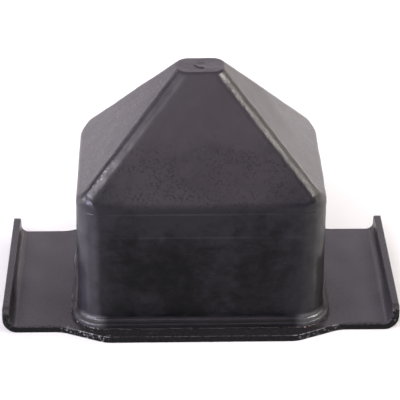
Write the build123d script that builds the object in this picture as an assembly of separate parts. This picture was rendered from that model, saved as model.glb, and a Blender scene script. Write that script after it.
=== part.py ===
from build123d import *
import os
from math import radians, tan

# Suspension bump stop: a rubber block with a pyramid head, bonded to a bent steel carrier plate.
#
# The plate slides into a bracket on the chassis. Its wings run under the bracket's claws and its turned-up ends
# stop it working through. The rubber is one moulding: a thin foot, upright walls and a blunt pyramid for the axle
# to strike. A film of cured bonding agent lies between rubber and steel and shows as a narrow margin.
#
# Millimetres. +Z points from the plate towards the axle, +X runs along the plate from one turned-up end to the
# other, and the origin is the middle of the plate's underside.

# ------------------------------------------------------------------ rubber moulding
WALL_LENGTH = 99.8  # along X, where the walls leave the foot
WALL_DEPTH = 69.8  # along Y, likewise
WALL_CORNER = 10.5  # corner radius in plan
WALL_LEAN = 0.7  # degrees that each wall leans in
WALL_HEIGHT = 55.0  # from the underside of the rubber to where wall and slope would meet
HEAD_HEIGHT = 44.3  # from there to the flat top
TOP_LENGTH = 18.2
TOP_DEPTH = 13.2
RIDGE_ROUNDING = 6.3
SHOULDER_ROUNDING = 5.5
TOP_ROUNDING = 2.0

FOOT_REACH = 2.7  # how far the foot stands out past the walls
FOOT_THICKNESS = 1.9
FOOT_ROUNDING = 0.6
FOOT_HOLLOW = 1.9  # fillet between the foot and the walls

SEAM_DROP = 3.2  # from where wall and slope would meet down to the mould's parting seam
SEAM_WIDTH = 0.5
SEAM_PROUD = 0.2
GATE_RADIUS = 2.6  # the stub left where the rubber was injected
GATE_HEIGHT = 0.5

# ------------------------------------------------------------------ bonding film
FILM_THICKNESS = 0.3
FILM_REACH = 0.7  # how far it is squeezed out past the foot

# ------------------------------------------------------------------ carrier plate
SHEET = 3.0
CLAW_ROOM = 24.4  # between the foot and the inside of each turned-up end
WING_DEPTH = 71.0
PAD_MARGIN = 5.4  # steel left in front of the foot and behind it
SLANT_INSET = 1.0  # how far inside the foot's corner rounding the pad starts to narrow
SLANT_LENGTH = 17.8  # along X, of each slanted edge of the pad
PAD_ROUNDING = 12.0  # of the pad's corners, in plan
WING_ROUNDING = 16.0  # where the slants run into the wings
END_HEIGHT = 10.8  # of the turned-up ends, from the underside
END_ROUNDING = 3.0  # of their upper corners
BEND_RADIUS = 3.0  # inside each bend

# ------------------------------------------------------------------ sizes that follow
foot_length = WALL_LENGTH + 2 * FOOT_REACH
foot_depth = WALL_DEPTH + 2 * FOOT_REACH
foot_corner = WALL_CORNER + FOOT_REACH
plate_length = foot_length + 2 * (CLAW_ROOM + SHEET)
pad_depth = foot_depth + 2 * PAD_MARGIN
pad_flat = foot_length - 2 * (foot_corner + SLANT_INSET)
rubber_floor = SHEET + FILM_THICKNESS
foot_top = rubber_floor + FOOT_THICKNESS
shoulder = rubber_floor + WALL_HEIGHT
top = shoulder + HEAD_HEIGHT


def leaned_in(height):
    """How much narrower the block is at this height above the rubber's underside, both sides together."""
    return 2 * height * tan(radians(WALL_LEAN))


def slab(length, depth, corner, floor, height, lean=0.0):
    """An upright block with rounded corners, its sides leaning in by `lean` degrees."""
    outline = Plane.XY.offset(floor) * RectangleRounded(length, depth, corner)
    return extrude(outline, height, taper=lean)


def edges_level_with(solid, z, reach):
    """Edges whose middles lie within `reach` of height z."""
    return solid.edges().filter_by(lambda edge: abs(edge.center().Z - z) < reach)


def roof(plane, shoulder_width, top_width, half_run):
    """A long prism with a pair of the head's slopes, which are carried on down to the rubber's underside."""
    spread = (shoulder_width - top_width) / HEAD_HEIGHT
    base_width = shoulder_width + spread * WALL_HEIGHT
    section = Polygon(
        (-base_width / 2, rubber_floor),
        (base_width / 2, rubber_floor),
        (top_width / 2, top),
        (-top_width / 2, top),
        align=None,
    )
    return extrude(plane * section, half_run, both=True)


def head():
    """The pyramid with rounded ridges, standing on a base well outside the walls."""
    half_run = WALL_LENGTH + WALL_DEPTH
    end_slopes = roof(Plane.XZ, WALL_LENGTH - leaned_in(WALL_HEIGHT), TOP_LENGTH, half_run)
    side_slopes = roof(Plane.YZ, WALL_DEPTH - leaned_in(WALL_HEIGHT), TOP_DEPTH, half_run)
    pyramid = end_slopes & side_slopes
    ridges = pyramid.edges().filter_by(lambda edge: edge.bounding_box().size.Z > HEAD_HEIGHT)
    return fillet(ridges, RIDGE_ROUNDING)


def block():
    """Walls and head, rounded where they meet and round the flat top."""
    walls = slab(WALL_LENGTH, WALL_DEPTH, WALL_CORNER, rubber_floor, WALL_HEIGHT + HEAD_HEIGHT, WALL_LEAN)
    body = walls & head()
    body = fillet(edges_level_with(body, shoulder, WALL_CORNER), SHOULDER_ROUNDING)
    return fillet(edges_level_with(body, top, 0.01), TOP_ROUNDING)


def foot():
    """The thin flange of rubber round the bottom of the walls."""
    flange = slab(foot_length, foot_depth, foot_corner, rubber_floor, FOOT_THICKNESS)
    return fillet(edges_level_with(flange, foot_top, 0.01), FOOT_ROUNDING)


def seam():
    """The fine raised line left by the mould's parting face, a little below the shoulder."""
    middle = WALL_HEIGHT - SEAM_DROP
    growth = 2 * SEAM_PROUD - leaned_in(middle)
    corner = WALL_CORNER + growth / 2
    floor = rubber_floor + middle - SEAM_WIDTH / 2
    return slab(WALL_LENGTH + growth, WALL_DEPTH + growth, corner, floor, SEAM_WIDTH)


def gate_stub():
    """The low round stub on the flat top."""
    sunk = TOP_ROUNDING
    stub = Cylinder(GATE_RADIUS, GATE_HEIGHT + sunk, align=(Align.CENTER, Align.CENTER, Align.MIN))
    return Pos(0, 0, top - sunk) * stub


def rubber_buffer():
    """The whole moulding."""
    body = block() + foot()
    inside_foot = foot_length / 2 - FOOT_REACH / 2
    root = edges_level_with(body, foot_top, 0.01).filter_by(lambda edge: edge.bounding_box().max.X < inside_foot)
    body = fillet(root, FOOT_HOLLOW)
    return body + seam() + gate_stub()


def bond_film():
    """The cured bonding agent that holds the rubber to the steel, squeezed out a little all round."""
    length = foot_length + 2 * FILM_REACH
    depth = foot_depth + 2 * FILM_REACH
    return slab(length, depth, foot_corner + FILM_REACH, SHEET, FILM_THICKNESS)


def bent_strip():
    """The steel bent up at both ends, before its outline is cut."""
    end = plate_length / 2
    section = Polygon(
        (-end, 0),
        (end, 0),
        (end, END_HEIGHT),
        (end - SHEET, END_HEIGHT),
        (end - SHEET, SHEET),
        (SHEET - end, SHEET),
        (SHEET - end, END_HEIGHT),
        (-end, END_HEIGHT),
        align=None,
    )
    section = fillet(section.vertices().filter_by(lambda corner: abs(corner.Y - SHEET) < 0.01), BEND_RADIUS)
    section = fillet(section.vertices().filter_by(lambda corner: abs(corner.Y) < 0.01), BEND_RADIUS + SHEET)
    return extrude(Plane.XZ * section, pad_depth / 2, both=True)


def plate_outline():
    """Seen from above: a deep pad in the middle that slants in to two shallower wings."""
    end = plate_length / 2
    pad = pad_flat / 2
    wing = pad + SLANT_LENGTH
    quarter = [(end, WING_DEPTH / 2), (wing, WING_DEPTH / 2), (pad, pad_depth / 2)]
    half = quarter + [(-x, y) for x, y in reversed(quarter)]
    outline = Polygon(*half, *[(x, -y) for x, y in reversed(half)], align=None)
    outline = fillet(outline.vertices().filter_by(lambda corner: abs(abs(corner.X) - pad) < 0.01), PAD_ROUNDING)
    return fillet(outline.vertices().filter_by(lambda corner: abs(abs(corner.X) - wing) < 0.01), WING_ROUNDING)


def carrier_plate():
    """The whole plate, its turned-up ends rounded at their upper corners."""
    plate = bent_strip() & extrude(plate_outline(), END_HEIGHT)
    return fillet(edges_level_with(plate, END_HEIGHT, 0.01).filter_by(Axis.X), END_ROUNDING)


os.makedirs("parts", exist_ok=True)
export_step(carrier_plate(), "parts/carrier_plate.step")
export_step(bond_film(), "parts/bond_film.step")
export_step(rubber_buffer(), "parts/rubber_buffer.step")
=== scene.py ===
from math import cos, pi, radians, sin, tan

import bpy
import numpy as np
from mathutils import Matrix, Vector


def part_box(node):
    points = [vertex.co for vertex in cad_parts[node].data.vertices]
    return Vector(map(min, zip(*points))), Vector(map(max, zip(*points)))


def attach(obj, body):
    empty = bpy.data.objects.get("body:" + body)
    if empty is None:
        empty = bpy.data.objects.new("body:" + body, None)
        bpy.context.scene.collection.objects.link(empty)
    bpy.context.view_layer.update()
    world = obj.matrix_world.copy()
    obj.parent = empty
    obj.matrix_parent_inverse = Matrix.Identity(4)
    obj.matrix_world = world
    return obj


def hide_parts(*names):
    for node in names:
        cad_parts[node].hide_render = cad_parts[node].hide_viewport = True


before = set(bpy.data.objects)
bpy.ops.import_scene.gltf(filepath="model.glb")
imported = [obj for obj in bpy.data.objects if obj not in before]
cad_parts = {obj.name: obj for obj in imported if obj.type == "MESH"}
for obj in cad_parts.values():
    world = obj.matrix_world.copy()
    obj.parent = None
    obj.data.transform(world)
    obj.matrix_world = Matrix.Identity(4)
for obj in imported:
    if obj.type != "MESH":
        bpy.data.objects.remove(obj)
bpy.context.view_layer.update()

# A suspension bump stop: moulded rubber with a pyramid head, bonded to a bent and painted steel plate.
# Lengths in this script are millimetres until a mesh is made; +X runs along the plate and +Z up.

MM = 0.001


def box_mm(node):
    """A CAD node's lowest and highest corners, in millimetres."""
    low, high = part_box(node)
    return np.array(low) / MM, np.array(high) / MM


# ---------------------------------------------------------------------------------------------- sizes
# The drawing's own sizes that the frame doesn't give, and a few that only this model has.
# Rubber
FOOT_REACH = 2.7
FOOT_THICKNESS = 1.9
FOOT_ROUNDING = 0.6
FOOT_HOLLOW = 1.9
WALL_CORNER = 10.5
WALL_LEAN = radians(0.7)
WALL_HEIGHT = 55.0
TOP_LENGTH = 18.2
TOP_DEPTH = 13.2
RIDGE_ROUNDING = 6.3
SHOULDER_ROUNDING = 5.5
CORNER_EASING = 3.0  # added to the shoulder's rounding at the block's four corners
TOP_ROUNDING = 2.0
SEAM_DROP = 3.2  # from the shoulder down to the mould's parting seam
SEAM_PROUD = 0.11
SECOND_LINE_DROP = 10.6  # from the seam down to a second, fainter line
SECOND_LINE_PROUD = 0.07
GATE_RADIUS = 2.6
GATE_HEIGHT = 0.5
GATE_DISH = 0.1  # how far the gate's face is sunk in its middle

# Plate
SHEET = 3.0
BEND_RADIUS = 3.0
WING_DEPTH = 71.0
SLANT_INSET = 1.0  # how far inside the foot's corner rounding the pad starts to narrow
SLANT_LENGTH = 17.8
PAD_ROUNDING = 12.0
WING_ROUNDING = 16.0
END_ROUNDING = 3.0
UPPER_EDGE = 0.4  # rounding of the sheet's upper cut edge on the pad
WING_EDGE = 0.9  # the same on the wings and the turned-up ends
LOWER_EDGE = 0.2  # and of the lower edge all round

rubber_low, rubber_high = box_mm("rubber_buffer")
film_low, film_high = box_mm("bond_film")
plate_low, plate_high = box_mm("carrier_plate")

foot_half = (rubber_high[:2] - rubber_low[:2]) / 2
wall_half = foot_half - FOOT_REACH
foot_corner = WALL_CORNER + FOOT_REACH
rubber_floor = rubber_low[2]
foot_top = rubber_floor + FOOT_THICKNESS
shoulder = rubber_floor + WALL_HEIGHT
seam = shoulder - SEAM_DROP
second_line = seam - SECOND_LINE_DROP
top = rubber_high[2] - GATE_HEIGHT
head_height = top - shoulder
shoulder_half = wall_half - WALL_HEIGHT * tan(WALL_LEAN)
top_half = np.array([TOP_LENGTH, TOP_DEPTH]) / 2
plate_half = plate_high[0]
pad_half_depth = plate_high[1]
wing_half_depth = WING_DEPTH / 2
end_height = plate_high[2]
slant_start = foot_half[0] - foot_corner - SLANT_INSET
slant_end = slant_start + SLANT_LENGTH


# ---------------------------------------------------------------------------------------------- tools
class Noise:
    """Smooth seeded noise about as large as `size` in each direction, with a spread of about 1."""

    def __init__(self, seed, size, stretch=(1, 1, 1), waves=28):
        draw = np.random.default_rng(seed)
        direction = draw.normal(size=(waves, 3))
        direction /= np.linalg.norm(direction, axis=1)[:, None]
        length = size * draw.uniform(0.7, 1.5, waves)
        self.wave = 2 * pi * direction / length[:, None] / np.array(stretch)
        self.phase = draw.uniform(0, 2 * pi, waves)
        self.gain = np.sqrt(2 / waves)

    def __call__(self, points):
        return self.gain * np.cos(points @ self.wave.T + self.phase).sum(axis=1)


def smoothstep(value, low, high):
    """0 up to `low`, 1 from `high` on, and a smooth rise between."""
    t = np.clip((value - low) / (high - low), 0, 1)
    return t * t * (3 - 2 * t)


def mesh_object(name, points, faces, material):
    """A smooth-shaded mesh object from points in millimetres."""
    mesh = bpy.data.meshes.new(name)
    mesh.from_pydata((np.asarray(points) * MM).tolist(), [], faces)
    mesh.validate()
    mesh.update()
    mesh.polygons.foreach_set("use_smooth", [True] * len(mesh.polygons))
    mesh.materials.append(material)
    piece = bpy.data.objects.new(name, mesh)
    bpy.context.scene.collection.objects.link(piece)
    return piece


def loop_faces(rings, columns):
    """Quads between closed rings of points, and a face over the first and the last ring."""
    here = np.arange(columns)
    there = (here + 1) % columns
    faces = []
    for ring in range(rings - 1):
        low, high = ring * columns, (ring + 1) * columns
        faces += np.stack([low + here, low + there, high + there, high + here], axis=1).tolist()
    faces.append(here[::-1].tolist())
    faces.append(((rings - 1) * columns + here).tolist())
    return faces


# ---------------------------------------------------------------------------------------------- rubber
# The surface is where a distance function is nought. These give distances and the directions outwards.


def rounded_join(first, second, radius):
    """The solid common to two others, with the edge between them rounded to a radius."""
    (d1, n1), (d2, n2) = first, second
    c = np.clip((n1 * n2).sum(axis=1), -0.999, 0.999)
    u1, u2 = d1 + radius, d2 + radius
    share1 = (u1 - c * u2) / (1 - c * c)
    share2 = (u2 - c * u1) / (1 - c * c)
    across = n1 * share1[:, None] + n2 * share2[:, None]
    length = np.maximum(np.linalg.norm(across, axis=1), 1e-9)
    in_round = (share1 > 0) & (share2 > 0)
    distance = np.where(in_round, length - radius, np.maximum(d1, d2))
    sharper = np.where((d1 > d2)[:, None], n1, n2)
    direction = np.where(in_round[:, None], across / length[:, None], sharper)
    return distance, direction


def rounded_union(first, second, radius):
    """Two solids together, with a hollow fillet where they meet."""
    outside = rounded_join((-first[0], -first[1]), (-second[0], -second[1]), radius)
    return -outside[0], -outside[1]


def level(points, height):
    """Everything below a height."""
    return points[:, 2] - height, np.tile([0.0, 0.0, 1.0], (len(points), 1))


def slope(points, axis, half_at_shoulder, half_at_top):
    """A pair of opposite slopes of the head."""
    run = half_at_shoulder - half_at_top
    length = np.hypot(run, head_height)
    out, rise = head_height / length, run / length
    distance = (np.abs(points[:, axis]) - half_at_shoulder) * out + (points[:, 2] - shoulder) * rise
    direction = np.zeros_like(points)
    direction[:, axis] = np.sign(points[:, axis]) * out
    direction[:, 2] = rise
    return distance, direction


def upright(points, half, corner, lean=0.0):
    """Upright walls with rounded corners, which may lean in above the rubber's floor."""
    inset = (points[:, 2] - rubber_floor) * tan(lean)
    corner_now = corner - inset
    beyond = np.abs(points[:, :2]) - (np.array(half) - corner)
    clipped = np.maximum(beyond, 0)
    reach = np.linalg.norm(clipped, axis=1)
    distance = reach + np.minimum(beyond.max(axis=1), 0) - corner_now
    flat = np.where(reach[:, None] > 0, clipped / np.maximum(reach, 1e-9)[:, None], 0)
    inside = reach <= 0
    flat[inside, 0] = (beyond[inside, 0] >= beyond[inside, 1]).astype(float)
    flat[inside, 1] = 1 - flat[inside, 0]
    direction = np.zeros_like(points)
    direction[:, :2] = flat * np.sign(points[:, :2]) * cos(lean)
    direction[:, 2] = sin(lean)
    return distance * cos(lean), direction


def rubber_shape(points):
    """Distance to the moulding and the direction out of it."""
    slopes_x = slope(points, 0, shoulder_half[0], top_half[0])
    slopes_y = slope(points, 1, shoulder_half[1], top_half[1])
    head = rounded_join(slopes_x, slopes_y, RIDGE_ROUNDING)
    walls = upright(points, wall_half, WALL_CORNER, WALL_LEAN)
    at_corner = smoothstep(np.abs(walls[1][:, 0] * walls[1][:, 1]), 0.05, 0.45)
    body = rounded_join(head, walls, SHOULDER_ROUNDING + CORNER_EASING * at_corner)
    body = rounded_join(body, level(points, top), TOP_ROUNDING)
    foot = rounded_join(upright(points, foot_half, foot_corner), level(points, foot_top), FOOT_ROUNDING)
    return rounded_union(body, foot, FOOT_HOLLOW)


def rounded_outline(half, corner, straight_x, straight_y, bend):
    """Points round a rounded rectangle, with set numbers of them on each straight and corner."""
    inner = np.array(half) - corner
    points = []
    for turn, (sx, sy) in enumerate(((1, 1), (-1, 1), (-1, -1), (1, -1))):
        centre = inner * (sx, sy)
        angles = turn * pi / 2 + np.linspace(0, pi / 2, bend, endpoint=False)
        points.append(centre + corner * np.stack([np.cos(angles), np.sin(angles)], axis=1))
        end = centre + corner * np.array([cos((turn + 1) * pi / 2), sin((turn + 1) * pi / 2)])
        after = inner * ((-1, 1), (-1, -1), (1, -1), (1, 1))[turn]
        start = after + (end - centre)
        steps = straight_x if turn % 2 == 0 else straight_y
        share = np.linspace(0, 1, steps, endpoint=False)[:, None]
        points.append(end + (start - end) * share)
    return np.concatenate(points)


def flat_ring(flat, height):
    """A ring of plan points at a height."""
    return np.column_stack([flat, np.full(len(flat), height)])


def cage_ring(half, corner, height):
    """A ring round a rounded rectangle. Every ring has the same number of points."""
    return flat_ring(rounded_outline(half, corner, straight_x=84, straight_y=56, bend=26), height)


PLAIN_STEP = 0.75  # between rings on the plain walls
SECOND_LINE_STEP = 0.15
SEAM_STEP = 0.1
CAGE_RIDGE = 5.6  # corner radius of the rings on the head
FAIRING_TOP = 9.0  # above the shoulder: the rings' corners have changed to that radius by here


def rubber_cage():
    """Rings of points near the moulding's surface, from the foot's underside to the top."""
    rings = []
    for height in (0.0, 0.06, 0.2, 0.45, 0.75, 1.05):
        rings.append(cage_ring(foot_half, foot_corner, rubber_floor + height))
    for angle in np.linspace(0, pi / 2, 8)[1:]:
        inset = FOOT_ROUNDING * (1 - cos(angle))
        height = foot_top - FOOT_ROUNDING * (1 - sin(angle))
        rings.append(cage_ring(foot_half - inset, foot_corner - inset, height))
    for angle in np.linspace(0, pi / 2, 14):
        inset = FOOT_REACH - FOOT_HOLLOW + FOOT_HOLLOW * sin(angle)
        height = foot_top + FOOT_HOLLOW * (1 - cos(angle))
        rings.append(cage_ring(foot_half - inset, foot_corner - inset, height))
    heights = list(np.arange(foot_top + FOOT_HOLLOW + 0.6, second_line - 1.2, PLAIN_STEP))
    heights += list(np.arange(second_line - 0.9, second_line + 0.91, SECOND_LINE_STEP))
    heights += list(np.arange(second_line + 1.5, seam - 1.4, PLAIN_STEP))
    heights += list(np.arange(seam - 1.0, seam + 1.01, SEAM_STEP))
    for height in heights:
        inset = (height - rubber_floor) * tan(WALL_LEAN)
        rings.append(cage_ring(wall_half - inset, WALL_CORNER - inset, height))
    for height in np.linspace(seam + 1.25, shoulder + FAIRING_TOP, 26):
        share = max(0.0, (height - shoulder) / head_height)
        blend = smoothstep(height, shoulder - 2.0, shoulder + 6.0)
        half = shoulder_half + (top_half - shoulder_half) * share
        rings.append(cage_ring(half, WALL_CORNER + (CAGE_RIDGE - WALL_CORNER) * blend, height))
    for height in np.linspace(shoulder + FAIRING_TOP + 0.4, top - 1.6, 58):
        share = (height - shoulder) / head_height
        rings.append(cage_ring(shoulder_half + (top_half - shoulder_half) * share, CAGE_RIDGE, height))
    return rings


def top_cage():
    """Rings over the rounded edge of the flat top, narrowing to the gate's circle and its middle."""
    rings = []
    for share in np.linspace(0.06, 1, 14):
        half = top_half + 0.5 - share * 2.0
        rings.append(cage_ring(half, CAGE_RIDGE - 1.2 * share, top - 1.5 * (1 - share) ** 2))
    outer = rings[-1][:, :2]
    angles = np.arctan2(outer[:, 1], outer[:, 0])
    unit_circle = np.stack([np.cos(angles), np.sin(angles)], axis=1)
    for share in np.linspace(0, 1, 12)[1:]:
        rings.append(flat_ring(outer + ((GATE_RADIUS + 0.8) * unit_circle - outer) * share, top))
    for radius in np.linspace(GATE_RADIUS + 0.6, 0.7, 21):
        rings.append(flat_ring(unit_circle * radius, top))
    return rings


def gate_relief(points):
    """The low stub where the rubber was injected: a worn rim round a slightly sunken face."""
    radius = np.hypot(points[:, 0], points[:, 1])
    ragged = GATE_RADIUS + 0.12 * Noise(31, 3.0)(points)
    stub = 1 - smoothstep(radius, ragged - 0.4, ragged)
    dish = GATE_DISH * (1 - smoothstep(radius, 0.4, GATE_RADIUS - 0.5))
    on_top = smoothstep(points[:, 2], top - 0.5, top - 0.1)
    return on_top * stub * (GATE_HEIGHT - 0.1 - dish)


def rubber_relief(points, direction):
    """How far the real moulding stands off its drawing: waves, lumpy ridges and two uneven lines."""
    z = points[:, 2]
    waves = 0.05 * Noise(11, 38)(points) + 0.025 * Noise(12, 9)(points) + 0.008 * Noise(13, 2.6)(points)
    on_ridge = smoothstep(np.abs(direction[:, 0] * direction[:, 1]), 0.08, 0.26) * (direction[:, 2] > 0.2)
    lumps = 0.022 * Noise(15, 5.0, stretch=(1, 1, 1.6))(points) + 0.014 * Noise(16, 1.9)(points)
    on_wall = np.abs(direction[:, 2]) < 0.3
    patchy = np.clip(0.75 + 0.35 * Noise(14, 12)(points), 0.2, 1.3)
    fainter = np.clip(patchy - 0.3, 0, 1)
    seam_line = SEAM_PROUD * patchy * np.exp(-(((z - seam) / 0.2) ** 2))
    fainter_line = SECOND_LINE_PROUD * fainter * np.exp(-(((z - second_line) / 0.3) ** 2))
    clear_of_plate = smoothstep(z, rubber_floor + 0.1, rubber_floor + 1.2)
    relief = waves + on_ridge * lumps + on_wall * (seam_line + fainter_line)
    return relief * clear_of_plate + gate_relief(points)


SETTLING_PASSES = 6  # enough for every point to come to rest on the surface


def make_rubber(material):
    """The rings drawn on to the moulding's surface, then moved out by its relief."""
    rings = rubber_cage() + top_cage()
    columns = len(rings[0])
    points = np.concatenate(rings)
    bottom = points[:columns, 2].copy()
    for _ in range(SETTLING_PASSES):
        distance, direction = rubber_shape(points)
        points = points - distance[:, None] * direction
    distance, direction = rubber_shape(points)
    points = points + rubber_relief(points, direction)[:, None] * direction
    points[:columns, 2] = bottom
    return mesh_object("rubber_moulding", points, loop_faces(len(rings), columns), material)


# ---------------------------------------------------------------------------------------------- plate
def arc_between(before, corner, after, radius, steps):
    """Points round a corner of a path, rounded to a radius."""
    a = (before - corner) / np.linalg.norm(before - corner)
    b = (after - corner) / np.linalg.norm(after - corner)
    half_angle = np.arccos(np.clip(a @ b, -1, 1)) / 2
    reach = radius / tan(half_angle)
    middle = (a + b) / np.linalg.norm(a + b)
    centre = corner + middle * radius / sin(half_angle)
    start, end = corner + a * reach - centre, corner + b * reach - centre
    sweep = pi - 2 * half_angle
    share = np.linspace(0, 1, steps)[:, None]
    return centre + (start * np.sin((1 - share) * sweep) + end * np.sin(share * sweep)) / sin(sweep)


def half_depth_at(x):
    """Half the plate's depth at a distance x from its middle, in plan."""
    path = np.array([
        [0, pad_half_depth],
        [slant_start, pad_half_depth],
        [slant_end, wing_half_depth],
        [plate_half + 1, wing_half_depth],
    ])
    outer = arc_between(path[0], path[1], path[2], PAD_ROUNDING, 24)
    inner = arc_between(path[1], path[2], path[3], WING_ROUNDING, 24)
    outline = np.concatenate([path[:1], outer, inner, path[3:]])
    return np.interp(np.abs(x), outline[:, 0], outline[:, 1])


def plate_stations():
    """From the plate's middle to one end, along the middle of the sheet.

    Each row is x, z, tilt, half depth, and how much is rounded off each face."""
    middle_radius = BEND_RADIUS + SHEET / 2
    bend_x = plate_half - SHEET - BEND_RADIUS
    bend_z = SHEET + BEND_RADIUS
    upright_x = plate_half - SHEET / 2
    wing = wing_half_depth
    rows = [(x, SHEET / 2, 0.0, half_depth_at(x), 0.0) for x in np.linspace(0, bend_x, 150)]
    for angle in np.linspace(0, pi / 2, 26)[1:]:
        x, z = bend_x + middle_radius * sin(angle), bend_z - middle_radius * cos(angle)
        rows.append((x, z, angle, wing, 0.0))
    top_corner = end_height - END_ROUNDING
    for height in np.linspace(bend_z, top_corner, 6)[1:]:
        rows.append((upright_x, height, pi / 2, wing, 0.0))
    for angle in np.linspace(0, pi / 2, 24)[1:]:
        height = top_corner + END_ROUNDING * sin(angle)
        to_centre = np.clip(UPPER_EDGE - (end_height - height), 0, UPPER_EDGE)
        thinned = UPPER_EDGE - np.sqrt(UPPER_EDGE**2 - to_centre**2)
        rows.append((upright_x, height, pi / 2, wing - END_ROUNDING * (1 - cos(angle)), thinned))
    # A last, slightly smaller section keeps the end's upper face crisp.
    rows.append((upright_x, end_height, pi / 2, wing - END_ROUNDING - 0.3, UPPER_EDGE + 0.3))
    return rows


FACE_POINTS = 90  # across the sheet, on each of its faces
NEAR = 0.01  # within this, a point counts as being on a face or a cut edge
PAINT_BACK = 0.05  # how far the paint lies inside the drawing, on average and at most
PAINT_DEEPEST = 0.16


def sheet_section(half_depth, thinned, rolled):
    """A closed loop round the sheet's section: places along Y, and through the sheet from its middle.

    `thinned` is taken off each face, and `rolled` is the rounding of the upper cut edges."""
    half_sheet = SHEET / 2 - thinned
    arc = np.linspace(0, pi / 2, 7)
    y, n = [], []
    for side in (1, -1):
        face_edge, rim_edge = (rolled, LOWER_EDGE) if side > 0 else (LOWER_EDGE, rolled)
        y += list(side * np.linspace(face_edge - half_depth, half_depth - face_edge, FACE_POINTS))
        n += [side * half_sheet] * FACE_POINTS
        y += list(side * (half_depth - face_edge + face_edge * np.sin(arc[1:])))
        n += list(side * (half_sheet - face_edge + face_edge * np.cos(arc[1:])))
        rim = np.linspace(half_sheet - face_edge, rim_edge - half_sheet, 10)[1:]
        y += [side * half_depth] * len(rim)
        n += list(side * rim)
        y += list(side * (half_depth - rim_edge + rim_edge * np.cos(arc[1:-1])))
        n += list(side * (rim_edge - half_sheet - rim_edge * np.sin(arc[1:-1])))
    return np.array(y), np.array(n)


def paint_relief(points, y, half_depth):
    """How far the paint stands off the drawing, always inwards: waves, and lumps along the cut edges."""
    near_edge = smoothstep(np.abs(y), half_depth - 1.4, half_depth - 0.2)
    waves = 0.02 * Noise(41, 16)(points)
    lumps = 0.045 * Noise(42, 2.2)(points) + 0.03 * Noise(43, 0.9)(points)
    return -np.clip(PAINT_BACK + waves + near_edge * lumps, 0, PAINT_DEEPEST)


def make_plate(material):
    """The sheet's section swept from end to end, with relief on the upper face and the cut edges."""
    stations = plate_stations()
    left = [(-x, z, -angle, depth, thinned) for x, z, angle, depth, thinned in reversed(stations[1:])]
    loops = []
    for x, z, angle, depth, thinned in left + stations:
        rolled = UPPER_EDGE + (WING_EDGE - UPPER_EDGE) * smoothstep(abs(x), slant_end - 6, slant_end + 2)
        y, n = sheet_section(depth, thinned, rolled)
        up = np.array([-sin(angle), 0, cos(angle)])
        loop = np.array([x, 0, z]) + n[:, None] * up
        loop[:, 1] = y
        relief = paint_relief(loop, y, depth)
        on_face = n > SHEET / 2 - thinned - NEAR
        on_rim = np.abs(y) > depth - NEAR
        loop += np.where(on_face, relief, 0)[:, None] * up
        loop[:, 1] += np.where(on_rim, relief, 0) * np.sign(y)
        loops.append(loop)
    outward = [face[::-1] for face in loop_faces(len(loops), len(loops[0]))]
    return mesh_object("painted_plate", np.concatenate(loops), outward, material)


# ---------------------------------------------------------------------------------------------- film
def make_film(material):
    """Cured bonding agent: a thin slab whose squeezed-out edge wanders."""
    film_half = (film_high[:2] - film_low[:2]) / 2
    reach = film_half[0] - foot_half[0]
    thickness = film_high[2] - film_low[2]
    rings = []
    for inset, share in ((0.0, 0.0), (0.125, 0.45), (0.3, 0.8), (0.5, 1.0)):
        height = film_low[2] + share * thickness
        rings.append(cage_ring(film_half - inset, foot_corner + reach - inset, height))
    rings.append(cage_ring(foot_half - 1.0, foot_corner - 1.0, film_high[2]))
    columns = len(rings[0])
    points = np.concatenate(rings)
    wander = -0.5 * reach + 0.35 * reach * Noise(21, 9)(points) + 0.25 * reach * Noise(22, 2.5)(points)
    wander[-columns:] = 0
    _, direction = upright(points, film_half, foot_corner + reach)
    points[:, :2] += direction[:, :2] * np.clip(wander, -1.2 * reach, 0)[:, None]
    return mesh_object("bonding_film", points, loop_faces(len(rings), columns), material)


# ---------------------------------------------------------------------------------------------- materials
# Colours are linear. Masks run from 0 to 1, and a range given with its higher end first falls.
WALL_BLACK = (0.0015, 0.0015, 0.0022, 1)
WALL_CLOUD = (0.0155, 0.0150, 0.0175, 1)
WALL_SPECK = (0.024, 0.023, 0.025, 1)
WALL_BY_CORNER = (0.026, 0.0255, 0.029, 1)
# The upright corners: lighter partly from rubbing and partly as a painted highlight.
RUBBED_AND_HIGHLIT_LEFT = (0.037, 0.035, 0.044, 1)
RUBBED_AND_HIGHLIT_RIGHT = (0.040, 0.036, 0.034, 1)
# Painted highlight on the seam lines.
SEAM_PAINTED_HIGHLIGHT = (0.030, 0.029, 0.032, 1)
FOOT_GREY = (0.017, 0.0155, 0.018, 1)
# The colours of what faces up: grey where the rubber has bloomed, and lighter than the walls as painted
# light from above.
BLOOM_AND_TOP_LIGHT_THIN = (0.034, 0.0305, 0.034, 1)
BLOOM_AND_TOP_LIGHT_THICK = (0.042, 0.038, 0.042, 1)
BLOOM_WORN = (0.013, 0.012, 0.014, 1)
BLOOM_HANDLED = (0.011, 0.011, 0.014, 1)
BLOOM_CHALKY = (0.085, 0.080, 0.085, 1)
# Painted shade up the +X slope.
PAINTED_SHADE_UP_PLUS_X_SLOPE = (0.022, 0.020, 0.021, 1)
# Painted highlight beside the +X ridge.
PAINTED_HIGHLIGHT_BESIDE_RIDGE = (0.085, 0.080, 0.074, 1)
BLOOM_ON_FOOT = (0.010, 0.009, 0.011, 1)
# Painted glint in the hollows at the foot's corners.
PAINTED_GLINT_IN_HOLLOW = (0.13, 0.127, 0.135, 1)
# Painted glints on the ridges.
RIDGE_PAINTED_GLINT = (0.30, 0.29, 0.30, 1)

PAINT_THIN = (0.034, 0.0310, 0.034, 1)
PAINT_THICK = (0.042, 0.0385, 0.042, 1)
PAINT_DUSTY = (0.058, 0.053, 0.058, 1)
OVERSPRAY = (0.012, 0.0110, 0.0115, 1)
OVERSPRAY_SPECK = (0.045, 0.040, 0.040, 1)
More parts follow.
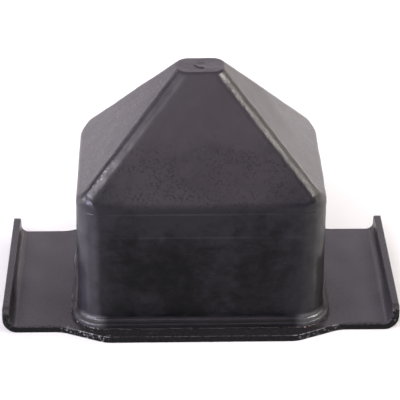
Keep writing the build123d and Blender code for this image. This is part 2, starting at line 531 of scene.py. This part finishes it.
# Painted shade on the cut edges.
CUT_EDGE_PAINTED_SHADE = (0.003, 0.003, 0.0035, 1)
CUT_SPECK = (0.014, 0.0135, 0.015, 1)
# Pale spots on the upturned ends' cut edges.
END_EDGE_PALE_SPOT = (0.10, 0.10, 0.10, 1)
# Painted highlight along the arris.
ARRIS_PAINTED_HIGHLIGHT = (0.05, 0.048, 0.05, 1)
# Painted glints on the nibs.
NIB_PAINTED_GLINT = (0.20, 0.195, 0.20, 1)
# Painted highlight on the slants' crests.
SLANT_CREST_PAINTED_HIGHLIGHT = (0.30, 0.29, 0.30, 1)

BOND_DARK = (0.006, 0.005, 0.005, 1)
BOND_BROWN = (0.018, 0.012, 0.011, 1)
# Painted glints on the film by the foot's corners.
BOND_PAINTED_GLINT_LEFT = (0.27, 0.26, 0.27, 1)
BOND_PAINTED_GLINT_RIGHT = (0.24, 0.18, 0.16, 1)

FLOOR_SHADES = (0.935, 0.945, 0.93, 1), (0.955, 0.965, 0.95, 1)


def new_material(name):
    material = bpy.data.materials.new(name)
    material.use_nodes = True
    nodes = material.node_tree.nodes
    nodes.clear()
    output = nodes.new("ShaderNodeOutputMaterial")
    shader = nodes.new("ShaderNodeBsdfPrincipled")
    material.node_tree.links.new(shader.outputs["BSDF"], output.inputs["Surface"])
    return material, shader


class Nodes:
    """Short calls for building one material's node tree."""

    def __init__(self, material):
        self.tree = material.node_tree
        self.place = self.add("ShaderNodeTexCoord").outputs["Object"]
        self.x, self.y, self.z = self.split(self.place)
        facing = self.add("ShaderNodeNewGeometry").outputs["Normal"]
        self.facing_x, self.facing_y, self.facing_z = self.split(facing)
        # Distances out from the middle of the part, and how far the surface faces along X and along Y.
        self.out_x = self.math("ABSOLUTE", self.x)
        self.out_y = self.math("ABSOLUTE", self.y)
        self.across = self.math("ABSOLUTE", self.facing_x)
        self.along = self.math("ABSOLUTE", self.facing_y)

    def add(self, kind, **settings):
        node = self.tree.nodes.new(kind)
        for key, value in settings.items():
            setattr(node, key, value)
        return node

    def link(self, source, target):
        self.tree.links.new(source, target)

    def feed(self, socket, value):
        """Link a socket to another, or give it a plain value."""
        if hasattr(value, "is_linked"):
            self.link(value, socket)
        else:
            socket.default_value = value

    def split(self, vector):
        node = self.add("ShaderNodeSeparateXYZ")
        self.link(vector, node.inputs["Vector"])
        return node.outputs["X"], node.outputs["Y"], node.outputs["Z"]

    def noise(self, scale, detail=3.0, roughness=0.55, distortion=0.0, stretch=(1, 1, 1)):
        mapping = self.add("ShaderNodeMapping")
        mapping.inputs["Scale"].default_value = stretch
        self.link(self.place, mapping.inputs["Vector"])
        node = self.add("ShaderNodeTexNoise")
        self.link(mapping.outputs["Vector"], node.inputs["Vector"])
        node.inputs["Scale"].default_value = scale
        node.inputs["Detail"].default_value = detail
        node.inputs["Roughness"].default_value = roughness
        node.inputs["Distortion"].default_value = distortion
        return node.outputs["Fac"]

    def range(self, value, low, high, to_low=0.0, to_high=1.0):
        """A smooth step from `to_low` to `to_high` as a value goes from `low` to `high`."""
        node = self.add("ShaderNodeMapRange", interpolation_type="SMOOTHSTEP")
        self.link(value, node.inputs["Value"])
        ends = {"From Min": low, "From Max": high, "To Min": to_low, "To Max": to_high}
        for key, number in ends.items():
            self.feed(node.inputs[key], number)
        return node.outputs["Result"]

    def within(self, place, low, high, to_low=0.0, to_high=1.0):
        """The same for a place, with both ends in millimetres."""
        return self.range(place, low * MM, high * MM, to_low, to_high)

    def math(self, operation, first, second=0.0):
        node = self.add("ShaderNodeMath", operation=operation)
        self.feed(node.inputs[0], first)
        self.feed(node.inputs[1], second)
        return node.outputs["Value"]

    def times(self, first, *others):
        for other in others:
            first = self.math("MULTIPLY", first, other)
        return first

    def plus(self, first, *others):
        for other in others:
            first = self.math("ADD", first, other)
        return first

    def mix(self, share, first, second):
        """A share of the second colour over the first. The colour sockets share names, so have numbers."""
        node = self.add("ShaderNodeMix", data_type="RGBA")
        self.feed(node.inputs["Factor"], share)
        self.feed(node.inputs[6], first)
        self.feed(node.inputs[7], second)
        return node.outputs[2]

    def bump(self, height, strength, distance):
        node = self.add("ShaderNodeBump")
        node.inputs["Strength"].default_value = strength
        node.inputs["Distance"].default_value = distance
        self.link(height, node.inputs["Height"])
        return node.outputs["Normal"]


def rubbed_and_highlit_corners(nodes, upright, patchy):
    """The block's upright corners: a broad band worn by rubbing, with a crest, stronger on the -X side;
    its lighter colour is also a painted highlight.
    """
    turned = nodes.times(nodes.across, nodes.along)
    band = nodes.times(nodes.range(turned, 0.0, 0.30), 0.64)
    crest = nodes.times(nodes.range(turned, 0.42, 0.495), 0.42)
    minus_x_side = nodes.range(nodes.facing_x, -0.1, 0.25, 1.0, 0.35)
    plus_x_side = nodes.range(nodes.facing_x, 0.3, 0.7, 0.0, 0.45)
    return nodes.times(nodes.plus(band, crest), upright, patchy, nodes.plus(minus_x_side, plus_x_side))


def wall_colour(nodes, cloud, blotch, speckle, patchy, rubbed_and_highlit):
    """Smeared black walls, greyer by the corners, lighter on the upright corners from rubbing and as a
    painted highlight, with painted highlights along two fine lines and a greyer foot.
    """
    high = nodes.within(nodes.z, shoulder - 30, shoulder + 2)
    scuff = nodes.noise(210, detail=6, roughness=0.75, distortion=0.6, stretch=(0.8, 0.8, 1.25))
    smear = nodes.plus(
        nodes.times(cloud, 0.45),
        nodes.times(blotch, 0.2),
        nodes.times(scuff, 0.35),
        nodes.times(high, 0.14),
    )
    wall = nodes.mix(nodes.range(smear, 0.43, 0.68), WALL_BLACK, WALL_CLOUD)
    wall = nodes.mix(nodes.range(speckle, 0.64, 0.74, 0.0, 0.5), wall, WALL_SPECK)

    towards_x = nodes.within(nodes.out_x, wall_half[0] - 22, wall_half[0])
    towards_y = nodes.within(nodes.out_y, wall_half[1] - 11, wall_half[1])
    wall = nodes.mix(nodes.times(towards_x, towards_y, patchy, 0.9), wall, WALL_BY_CORNER)
    # Painted highlight on the upright corners, over wear from rubbing: lilac on the -X side, warmer on the
    # +X side.
    rubbed_highlight_grey = nodes.mix(nodes.range(nodes.facing_x, -0.2, 0.2), RUBBED_AND_HIGHLIT_LEFT, RUBBED_AND_HIGHLIT_RIGHT)
    wall = nodes.mix(rubbed_and_highlit, wall, rubbed_highlight_grey)

    # Painted highlight along the seam and the fainter line below it.
    for height, strength in ((seam, 0.7), (second_line, 0.5)):
        away = nodes.math("ABSOLUTE", nodes.plus(nodes.z, -height * MM))
        broken = nodes.range(cloud, 0.42, 0.6, 0.2, 1.0)
        wall = nodes.mix(nodes.times(nodes.within(away, 0.5, 0.1), broken, strength), wall, SEAM_PAINTED_HIGHLIGHT)
    on_foot = nodes.within(nodes.z, foot_top, foot_top - 0.4)
    return nodes.mix(nodes.times(on_foot, 0.8), wall, FOOT_GREY)


def bloom_and_top_light_colour(nodes, cloud, blotch, speckle, patchy):
    """Grey where the rubber has bloomed, and lighter on what faces up as painted light from above: spotted
    and worn low down, chalky on the end slopes, with painted shade up the +X slope and a painted highlight
    beside the +X ridge, thin on the foot.
    """
    bloom_and_top_light = nodes.mix(nodes.range(cloud, 0.35, 0.7), BLOOM_AND_TOP_LIGHT_THIN, BLOOM_AND_TOP_LIGHT_THICK)
    low_on_head = nodes.within(nodes.z, shoulder + 25, shoulder + 16)
    bloom_and_top_light = nodes.mix(nodes.times(low_on_head, nodes.along, 0.2), bloom_and_top_light, BLOOM_WORN)
    spots = nodes.times(nodes.range(speckle, 0.48, 0.58), low_on_head, nodes.range(blotch, 0.38, 0.54))
    bloom_and_top_light = nodes.mix(nodes.times(spots, 0.66), bloom_and_top_light, BLOOM_WORN)
    by_corner = nodes.within(nodes.out_x, wall_half[0] - 28, wall_half[0] - 8)
    handled = nodes.times(by_corner, nodes.within(nodes.z, shoulder + 15, shoulder + 1), nodes.along)
    bloom_and_top_light = nodes.mix(nodes.times(handled, patchy), bloom_and_top_light, BLOOM_HANDLED)

    chalky = nodes.times(nodes.range(nodes.across, 0.5, 0.7), nodes.range(speckle, 0.48, 0.66))
    bloom_and_top_light = nodes.mix(chalky, bloom_and_top_light, BLOOM_CHALKY)
    # Painted shade: darker up the +X slope.
    plus_x_slope = nodes.range(nodes.facing_x, 0.5, 0.7)
    painted_shade_up_slope = nodes.times(plus_x_slope, nodes.within(nodes.z, shoulder + 10, shoulder + 26), 0.9)
    bloom_and_top_light = nodes.mix(painted_shade_up_slope, bloom_and_top_light, PAINTED_SHADE_UP_PLUS_X_SLOPE)
    # Painted highlight: a warm lighter strip beside the +X ridge.
    off_slope = nodes.range(nodes.along, 0.03, 0.14)
    painted_highlight_beside_ridge = nodes.times(nodes.range(nodes.facing_x, 0.42, 0.56), off_slope, 0.9)
    bloom_and_top_light = nodes.mix(painted_highlight_beside_ridge, bloom_and_top_light, PAINTED_HIGHLIGHT_BESIDE_RIDGE)
    low = nodes.within(nodes.z, foot_top + 4, foot_top + 0.5)
    return nodes.mix(nodes.times(low, 0.7), bloom_and_top_light, BLOOM_ON_FOOT)


def ridge_shine(nodes, ridge, beads):
    """Shine on the worn ridges: fading up the -X side, and strongest at the top of the +X side."""
    up_head = nodes.within(nodes.z, shoulder + 6, top - 4)
    minus_x_fade = nodes.times(nodes.range(nodes.facing_x, 0.1, -0.1), up_head)
    kept = nodes.range(minus_x_fade, 0.0, 1.0, 1.0, 0.35)
    tip = nodes.times(nodes.range(nodes.facing_x, 0.0, 0.2), nodes.within(nodes.z, top - 4, top - 1.5))
    worn = nodes.range(nodes.noise(42, detail=3), 0.38, 0.62, 0.45, 1.0)
    return nodes.times(ridge, nodes.plus(nodes.times(worn, kept), nodes.times(tip, 0.8)), beads)


def ridge_painted_glints(nodes, upward):
    """Painted glints on the ridges: low down on the -X side and, fainter, high up on the +X side."""
    low = nodes.within(nodes.z, shoulder + 20, shoulder + 8)
    high = nodes.within(nodes.z, top - 20, top - 9)
    low_left = nodes.times(nodes.within(nodes.x, 0, -5), low)
    high_right = nodes.times(nodes.within(nodes.x, 0, 5), high, 0.45)
    crown = nodes.times(nodes.range(nodes.across, 0.2, 0.35), nodes.range(nodes.along, 0.38, 0.5), upward)
    above_shoulder = nodes.within(nodes.z, shoulder + 2, shoulder + 4.5)
    glint_breakup = nodes.range(nodes.noise(640, detail=1), 0.5, 0.72, 0.22, 1.0)
    return nodes.times(crown, glint_breakup, above_shoulder, nodes.plus(low_left, high_right), 0.8)


def rubber_material():
    """Near-black rubber: grey where it has bloomed on what faces up, and lighter there as painted light
    from above; corners worn by rubbing and given painted highlights; painted glints on the ridges and by
    the foot; cloudy walls and a fine grain.
    """
    material, shader = new_material("moulded_rubber")
    nodes = Nodes(material)
    cloud = nodes.noise(34, detail=6, roughness=0.6, distortion=0.6)
    blotch = nodes.noise(150, detail=4, roughness=0.65)
    speckle = nodes.noise(950, detail=5, roughness=0.7)
    dents = nodes.noise(1300, detail=2, roughness=0.6)
    grain = nodes.noise(2600, detail=2)
    upward = nodes.range(nodes.facing_z, 0.0, 0.52)
    upright = nodes.math("SUBTRACT", 1.0, upward)
    patchy = nodes.range(blotch, 0.3, 0.7, 0.55, 1.0)
    beads = nodes.range(dents, 0.42, 0.64, 0.62, 1.0)
    off_end_slopes = nodes.range(nodes.along, 0.26, 0.46)
    off_long_slopes = nodes.range(nodes.across, 0.05, 0.3)
    ridge = nodes.times(off_end_slopes, off_long_slopes, upward)
    rubbed_and_highlit = rubbed_and_highlit_corners(nodes, upright, patchy)
    by_corner_x = nodes.within(nodes.out_x, wall_half[0] - 13, wall_half[0] - 8)
    by_corner_y = nodes.within(nodes.out_y, wall_half[1] - 8, wall_half[1] - 3)
    near_foot = nodes.within(nodes.z, foot_top + 3.0, foot_top + 1.6)
    # The hollows at the foot's corners: glossier, and given a painted glint in the colour.
    hollow = nodes.times(by_corner_x, by_corner_y, near_foot, beads)

    wall = wall_colour(nodes, cloud, blotch, speckle, patchy, rubbed_and_highlit)
    bloom_and_top_light = bloom_and_top_light_colour(nodes, cloud, blotch, speckle, patchy)
    # What faces up takes the lighter colours: bloomed rubber with painted light from above.
    colour = nodes.mix(nodes.times(hollow, 0.6), nodes.mix(upward, wall, bloom_and_top_light), PAINTED_GLINT_IN_HOLLOW)
    # Painted glints on the ridges.
    colour = nodes.mix(ridge_painted_glints(nodes, upward), colour, RIDGE_PAINTED_GLINT)
    nodes.link(colour, shader.inputs["Base Color"])
    nodes.link(nodes.range(cloud, 0.3, 0.7, 0.27, 0.36), shader.inputs["Roughness"])
    shader.inputs["Specular IOR Level"].default_value = 0.11

    below_shoulder = nodes.within(nodes.z, shoulder + 1, shoulder - 4, 0.22, 1.0)
    down_head = nodes.within(nodes.z, top - 5, shoulder + 5)
    end_slopes = nodes.times(nodes.range(nodes.across, 0.5, 0.7), upward, down_head)
    shine = nodes.plus(
        hollow,
        nodes.times(rubbed_and_highlit, below_shoulder, 0.62),
        ridge_shine(nodes, ridge, beads),
        nodes.times(end_slopes, 0.24),
    )
    nodes.link(shine, shader.inputs["Coat Weight"])
    shader.inputs["Coat Roughness"].default_value = 0.22

    fine = nodes.plus(nodes.times(speckle, 0.6), nodes.times(grain, 0.3))
    height = nodes.plus(fine, nodes.times(dents, ridge, 2.5))
    nodes.link(nodes.bump(height, strength=0.25, distance=0.1 * MM), shader.inputs["Normal"])
    return material


def face_paint(nodes, cloud, nibs):
    """The plate's flat faces: dusty towards the ends, and dark with overspray beside the rubber."""
    face = nodes.mix(nodes.range(cloud, 0.35, 0.7), PAINT_THIN, PAINT_THICK)
    below_ends = nodes.within(nodes.z, end_height - 1.3, end_height - 3.8)
    towards_end = nodes.times(nodes.within(nodes.out_x, plate_half - 20, plate_half - 6), below_ends)
    face = nodes.mix(nodes.times(towards_end, 0.8), face, PAINT_DUSTY)
    beside_x = nodes.within(nodes.out_x, slant_end + 1.8, slant_end - 10.2)
    beside_y = nodes.within(nodes.out_y, wing_half_depth - 1, wing_half_depth + 2.5)
    overspray = nodes.times(beside_x, beside_y)
    face = nodes.mix(nodes.times(overspray, 0.75), face, OVERSPRAY)
    return nodes.mix(nodes.times(overspray, nodes.range(nibs, 0.60, 0.66)), face, OVERSPRAY_SPECK)


def cut_paint(nodes, nibs, slanted):
    """The cut edges: thick paint, darkened as painted shade, with painted glints on the nibs of the
    slants, most on the -X side, and pale spots on the ends' edges.
    """
    # Painted shade: the cut edges much darker than the flat faces.
    cut = nodes.mix(nodes.range(nibs, 0.60, 0.70), CUT_EDGE_PAINTED_SHADE, CUT_SPECK)
    by_side = nodes.within(nodes.x, -10, 10, 1.0, 0.35)
    # Painted glints on the nibs of the slanted edges.
    cut = nodes.mix(nodes.times(slanted, nodes.range(nibs, 0.55, 0.62), by_side), cut, NIB_PAINTED_GLINT)
    outer = nodes.within(nodes.out_x, plate_half - 4.5, plate_half - 2.5)
    above_bend = nodes.within(nodes.z, 2, 4)
    below_ends = nodes.within(nodes.z, end_height - 1.3, end_height - 3.3)
    # Pale spots on the upturned ends' cut edges.
    end_edge_spots = nodes.times(nodes.range(nibs, 0.56, 0.62), nodes.range(nodes.along, 0.3, 0.6))
    return nodes.mix(nodes.times(outer, above_bend, below_ends, end_edge_spots), cut, END_EDGE_PALE_SPOT)


def plate_material():
    """Black paint: satin on the faces, thick and nibbed on the cut edges, which are darker as painted
    shade, with painted highlights along the arris and on the slants' crests, and painted glints on the
    nibs.
    """
    material, shader = new_material("black_paint")
    nodes = Nodes(material)
    cloud = nodes.noise(30, detail=4)
    peel = nodes.noise(900, detail=2)
    nibs = nodes.noise(820, detail=3, roughness=0.7)
    edge = nodes.range(nodes.along, 0.45, 0.85)
    slanted = nodes.times(edge, nodes.range(nodes.across, 0.12, 0.3))
    between = nodes.times(nodes.facing_z, nodes.along)
    arris = nodes.range(between, 0.16, 0.42)
    crest = nodes.range(between, 0.34, 0.48)
    past_start = nodes.within(nodes.out_x, slant_start - 4.4, slant_start + 0.6)
    before_end = nodes.within(nodes.out_x, slant_end + 0.8, slant_end - 3.2)
    on_slant = nodes.times(past_start, before_end)
    margin = nodes.within(nodes.out_y, wing_half_depth - 1, wing_half_depth + 0.5)
    left = nodes.within(nodes.x, 10, -10)

    colour = nodes.mix(edge, face_paint(nodes, cloud, nibs), cut_paint(nodes, nibs, slanted))
    # Painted highlight: a broken light line along the arris.
    colour = nodes.mix(nodes.times(arris, nodes.range(nibs, 0.40, 0.58)), colour, ARRIS_PAINTED_HIGHLIGHT)
    # Painted highlight along the crest of the slanted edges.
    colour = nodes.mix(nodes.times(on_slant, crest, nodes.range(nibs, 0.44, 0.56)), colour, SLANT_CREST_PAINTED_HIGHLIGHT)
    # Painted glints on the nibs beside the slants.
    near_slant = nodes.times(on_slant, margin, nodes.range(nibs, 0.62, 0.68), left)
    colour = nodes.mix(near_slant, colour, NIB_PAINTED_GLINT)
    nodes.link(colour, shader.inputs["Base Color"])
    nodes.link(nodes.range(peel, 0.3, 0.7, 0.26, 0.34), shader.inputs["Roughness"])
    shader.inputs["Specular IOR Level"].default_value = 0.13

    lumps = nodes.times(nodes.range(slanted, 0.0, 1.0, 0.04, 1.0), edge, nodes.range(nibs, 0.52, 0.60))
    nodes.link(lumps, shader.inputs["Coat Weight"])
    shader.inputs["Coat Roughness"].default_value = 0.12

    height = nodes.plus(nodes.times(peel, 0.15), nodes.times(nibs, nodes.range(edge, 0.0, 1.0, 0.1, 1.4)))
    nodes.link(nodes.bump(height, strength=0.35, distance=0.14 * MM), shader.inputs["Normal"])
    return material


def film_material():
    """Cured bonding agent: dark brown and lumpy, with painted glints at the foot's corners."""
    material, shader = new_material("cured_bond")
    nodes = Nodes(material)
    cloud = nodes.noise(260, detail=4)
    colour = nodes.mix(nodes.range(cloud, 0.35, 0.65), BOND_DARK, BOND_BROWN)
    by_corner_x = nodes.within(nodes.out_x, foot_half[0] - 18.6, foot_half[0] - 10.6)
    by_corner_y = nodes.within(nodes.out_y, foot_half[1] - 8.6, foot_half[1] - 4.6)
    # Painted glints by the foot's corners.
    specks = nodes.times(nodes.range(nodes.noise(1000, detail=2), 0.54, 0.62), by_corner_x, by_corner_y)
    pale = nodes.mix(nodes.within(nodes.x, -20, 20), BOND_PAINTED_GLINT_LEFT, BOND_PAINTED_GLINT_RIGHT)
    nodes.link(nodes.mix(specks, colour, pale), shader.inputs["Base Color"])
    nodes.link(nodes.range(cloud, 0.3, 0.7, 0.25, 0.45), shader.inputs["Roughness"])
    nodes.link(nodes.bump(cloud, strength=0.5, distance=0.2 * MM), shader.inputs["Normal"])
    return material


def floor_material():
    """A plain pale floor, its shade hardly varying."""
    material, shader = new_material("studio_floor")
    nodes = Nodes(material)
    nodes.link(nodes.mix(nodes.noise(6), *FLOOR_SHADES), shader.inputs["Base Color"])
    shader.inputs["Roughness"].default_value = 0.9
    return material


# ---------------------------------------------------------------------------------------------- studio
FLOOR_HALF = 3000  # mm
WORLD_STRENGTH = 0.10
SOFTBOX_AIM = (0, 0, 0.05)  # the middle of the rubber, in metres
SOFTBOX_DISTANCE = 1.4  # metres, from there
SOFTBOXES = (
    # name, azimuth (0 is the camera's side, 90 is +X), elevation, width, height (metres), watts, colour
    ("back", 180, 24, 1.80, 0.44, 11.0, (0.97, 0.88, 1.00)),
    ("right_back_low", 142, 4, 0.70, 0.26, 3.0, (1.00, 0.90, 0.88)),
    ("right_back", 114, 24, 0.50, 0.46, 1.0, (1.00, 0.96, 0.92)),
    ("left_back_low", 220, 5, 0.70, 0.28, 1.6, (1.00, 0.90, 0.98)),
    ("left_low", 270, 7, 0.70, 0.32, 3.5, (0.90, 0.86, 1.00)),
    ("left_front_low", 308, 7, 0.80, 0.32, 12.0, (0.78, 0.75, 1.00)),
    ("left_high", 287, 43, 0.90, 0.48, 5.0, (1.00, 0.93, 0.98)),
    ("right_high", 80, 43, 0.80, 0.48, 11.0, (1.00, 0.95, 0.88)),
    ("front_high", 0, 43, 0.62, 0.48, 4.5, (1.00, 0.88, 0.96)),
    ("front_left_high", 330, 43, 0.62, 0.48, 7.0, (0.95, 0.92, 1.00)),
    ("overhead", 0, 88, 0.60, 0.60, 1.7, (1.00, 0.98, 1.00)),
)


def softbox(name, azimuth, elevation, width, height, power, colour):
    """An oblong lamp that faces the object."""
    around, up = radians(azimuth), radians(elevation)
    away = Vector((sin(around) * cos(up), -cos(around) * cos(up), sin(up)))
    light = bpy.data.lights.new(name, "AREA")
    light.shape = "RECTANGLE"
    light.size, light.size_y = width, height
    light.energy = power
    light.color = colour
    lamp = bpy.data.objects.new(name, light)
    lamp.location = Vector(SOFTBOX_AIM) + away * SOFTBOX_DISTANCE
    lamp.rotation_euler = (-away).to_track_quat("-Z", "Y").to_euler()
    bpy.context.scene.collection.objects.link(lamp)


def studio():
    """A pale floor, a dim white world and the softboxes."""
    far = FLOOR_HALF
    corners = [(-far, -far, 0), (far, -far, 0), (far, far, 0), (-far, far, 0)]
    floor = mesh_object("floor", corners, [(0, 1, 2, 3)], floor_material())
    world = bpy.data.worlds.new("studio")
    world.use_nodes = True
    background = world.node_tree.nodes["Background"]
    background.inputs["Color"].default_value = (1, 1, 1, 1)
    background.inputs["Strength"].default_value = WORLD_STRENGTH
    bpy.context.scene.world = world
    for box in SOFTBOXES:
        softbox(*box)
    bpy.context.scene.view_settings.view_transform = "Standard"


CAMERA_AZIMUTH = radians(-1.46)
CAMERA_ELEVATION = radians(32.09)
CAMERA_ROLL = radians(0.33)
CAMERA_DISTANCE = 0.68666  # metres, from the point it looks at
CAMERA_TARGET = (0.0001, 0.0, 0.0404)
LENS = 150.67  # for a sensor 36 mm wide


def camera():
    """The view from in front of the long side, looking down at about 32 degrees."""
    around, elevation, roll = CAMERA_AZIMUTH, CAMERA_ELEVATION, CAMERA_ROLL
    back = Vector((sin(around) * cos(elevation), -cos(around) * cos(elevation), sin(elevation)))
    right = Vector((cos(around), sin(around), 0.0))
    up = back.cross(right)
    rolled_right = cos(roll) * right + sin(roll) * up
    rolled_up = cos(roll) * up - sin(roll) * right
    data = bpy.data.cameras.new("camera")
    data.lens = LENS
    data.sensor_width = 36.0
    data.clip_start = 0.01
    view = bpy.data.objects.new("camera", data)
    turn = Matrix((rolled_right, rolled_up, back)).transposed().to_4x4()
    view.matrix_world = Matrix.Translation(Vector(CAMERA_TARGET) + back * CAMERA_DISTANCE) @ turn
    bpy.context.scene.collection.objects.link(view)
    bpy.context.scene.camera = view


# ---------------------------------------------------------------------------------------------- assembly
camera()
studio()
for piece, node, slot in (
    (make_rubber(rubber_material()), "rubber_buffer", "rubber"),
    (make_plate(plate_material()), "carrier_plate", "plate_paint"),
    (make_film(film_material()), "bond_film", "bond_film"),
):
    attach(piece, "root")
    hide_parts(node)
